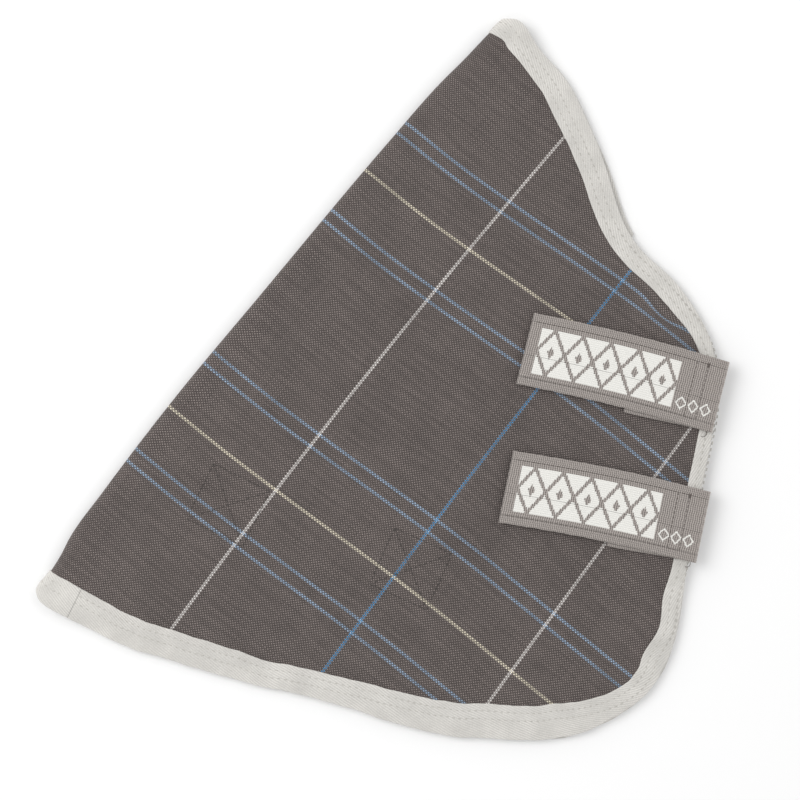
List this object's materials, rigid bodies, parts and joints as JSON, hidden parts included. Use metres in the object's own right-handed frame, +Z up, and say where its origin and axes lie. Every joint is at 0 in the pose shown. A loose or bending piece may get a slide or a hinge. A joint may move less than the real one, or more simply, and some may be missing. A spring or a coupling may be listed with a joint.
{
  "type": "horse neck cover",
  "caption": "Folded neck cover of a horse rug: two bound fabric halves joined at the crest, two hook-and-loop closure tabs and inner straps to the rug.",
  "frame": {"origin": "middle of the bounding box's bottom, on the surface that the folded cover lies on", "axes": "+X along the crest from the withers end to the poll end, +Y towards the crest edge, +Z up"},
  "size_m": [0.516, 0.3785, 0.0129],
  "materials": {
    "shell_fabric": "matt plain weave, taupe with a fine white, blue and beige check",
    "lining_fabric": "smooth dark grey woven lining",
    "binding_tape": "off-white twill tape",
    "closure_webbing": "grey woven webbing with a white woven pattern",
    "strap_webbing": "taupe woven webbing",
    "hook_tape": "moulded nylon hooks, grey",
    "loop_tape": "brushed nylon loop pile, grey"
  },
  "bodies": {
    "lower_half": {"lower_shell": "shell_fabric", "lower_lining": "lining_fabric", "lower_binding": "binding_tape", "crest_shell_fold": "shell_fabric", "crest_lining_fold": "lining_fabric", "crest_binding_poll": "binding_tape", "crest_binding_withers": "binding_tape", "lower_loop_patch_front": "loop_tape", "lower_loop_patch_rear": "loop_tape", "lower_withers_strap_webbing": "strap_webbing", "lower_withers_strap_loop": "loop_tape", "lower_withers_strap_hook": "hook_tape", "lower_chest_strap_webbing": "strap_webbing", "lower_chest_strap_loop": "loop_tape", "lower_chest_strap_hook": "hook_tape"},
    "upper_half": {"upper_shell": "shell_fabric", "upper_lining": "lining_fabric", "upper_binding": "binding_tape", "front_tab_root": "closure_webbing", "rear_tab_root": "closure_webbing", "upper_loop_patch_front": "loop_tape", "upper_loop_patch_rear": "loop_tape", "upper_withers_strap_webbing": "strap_webbing", "upper_withers_strap_loop": "loop_tape", "upper_withers_strap_hook": "hook_tape", "upper_chest_strap_webbing": "strap_webbing", "upper_chest_strap_loop": "loop_tape", "upper_chest_strap_hook": "hook_tape"},
    "front_tab": {"front_tab_flap": "closure_webbing", "front_tab_hook": "hook_tape"},
    "rear_tab": {"rear_tab_flap": "closure_webbing", "rear_tab_hook": "hook_tape"}
  },
  "joints": [
    {"name": "crest_fold", "type": "hinge", "parent": "lower_half", "child": "upper_half", "pos_m": [0, 0.18465, 0.005], "axis": [-1, 0, 0], "range_deg": [0, 170], "deforming": ["crest_shell_fold", "crest_lining_fold", "crest_binding_poll", "crest_binding_withers"]},
    {"name": "front_tab_peel", "type": "hinge", "parent": "upper_half", "child": "front_tab", "pos_m": [0.13567, -0.07893, 0.01305], "axis": [0.9056, 0.4242, 0], "range_deg": [0, 180]},
    {"name": "rear_tab_peel", "type": "hinge", "parent": "upper_half", "child": "rear_tab", "pos_m": [0.05854, -0.12634, 0.01305], "axis": [0.887, 0.4617, 0], "range_deg": [0, 180]}
  ]
}
